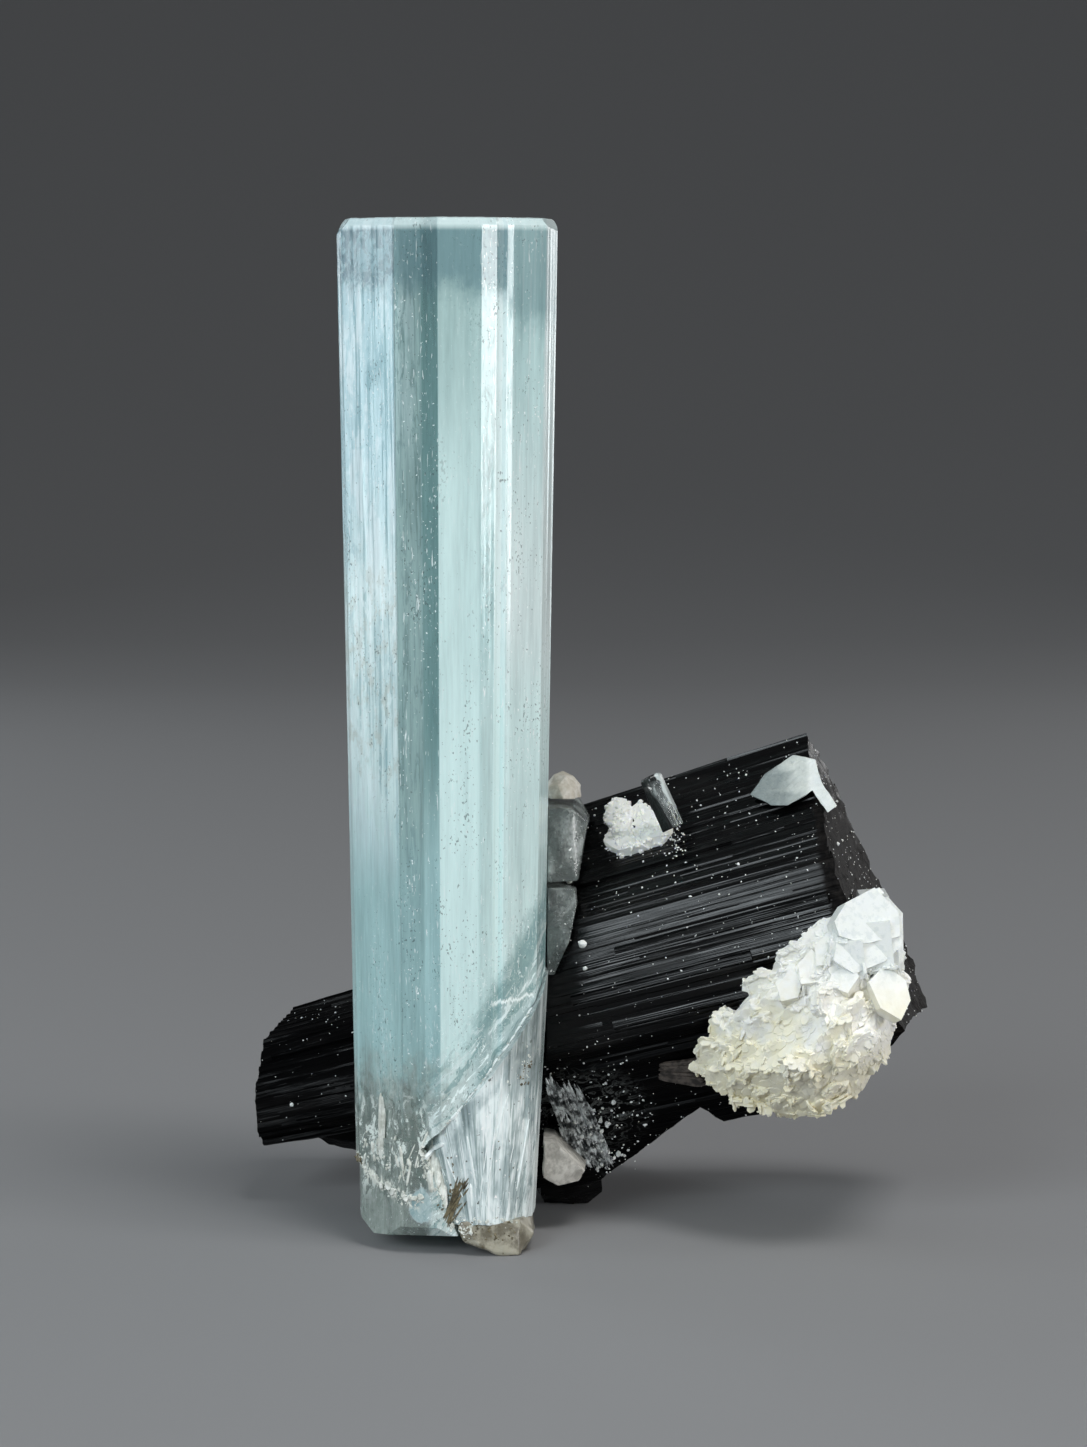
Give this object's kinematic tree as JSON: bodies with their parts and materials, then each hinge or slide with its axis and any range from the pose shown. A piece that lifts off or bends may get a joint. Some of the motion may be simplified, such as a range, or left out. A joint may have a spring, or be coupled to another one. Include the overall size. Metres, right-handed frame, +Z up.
{
  "type": "aquamarine crystal on black tourmaline",
  "caption": "Tall blue aquamarine prism grown upright against a lying black tourmaline crystal, with white albite and clear quartz growths.",
  "frame": {"origin": "middle of the specimen's footprint, on the surface it stands on", "axes": "+Z up, along the aquamarine prism; +X to the right, towards the tourmaline's free end; -Y is the front"},
  "size_m": [0.0622, 0.0446, 0.0902],
  "materials": {
    "aquamarine": "glassy, pale blue, striated along its length",
    "clear_beryl": "glassy, colourless, striated",
    "smoky_quartz": "glassy, faintly smoky",
    "schorl": "glossy black with fine ridges",
    "albite": "satin white flakes",
    "feldspar": "dull broken tan stone"
  },
  "bodies": {
    "root": {"aquamarine_crystal": "aquamarine", "clear_root_block": "clear_beryl", "foot_nub": "feldspar", "schorl_crystal": "schorl", "albite_cluster": "albite", "albite_plate": "albite", "albite_patch": "albite", "small_beryl": "clear_beryl", "quartz_block_upper": "smoky_quartz", "quartz_block_lower": "smoky_quartz", "feldspar_knob": "feldspar", "albite_crust": "albite", "feldspar_matrix": "feldspar"}
  },
  "joints": []
}
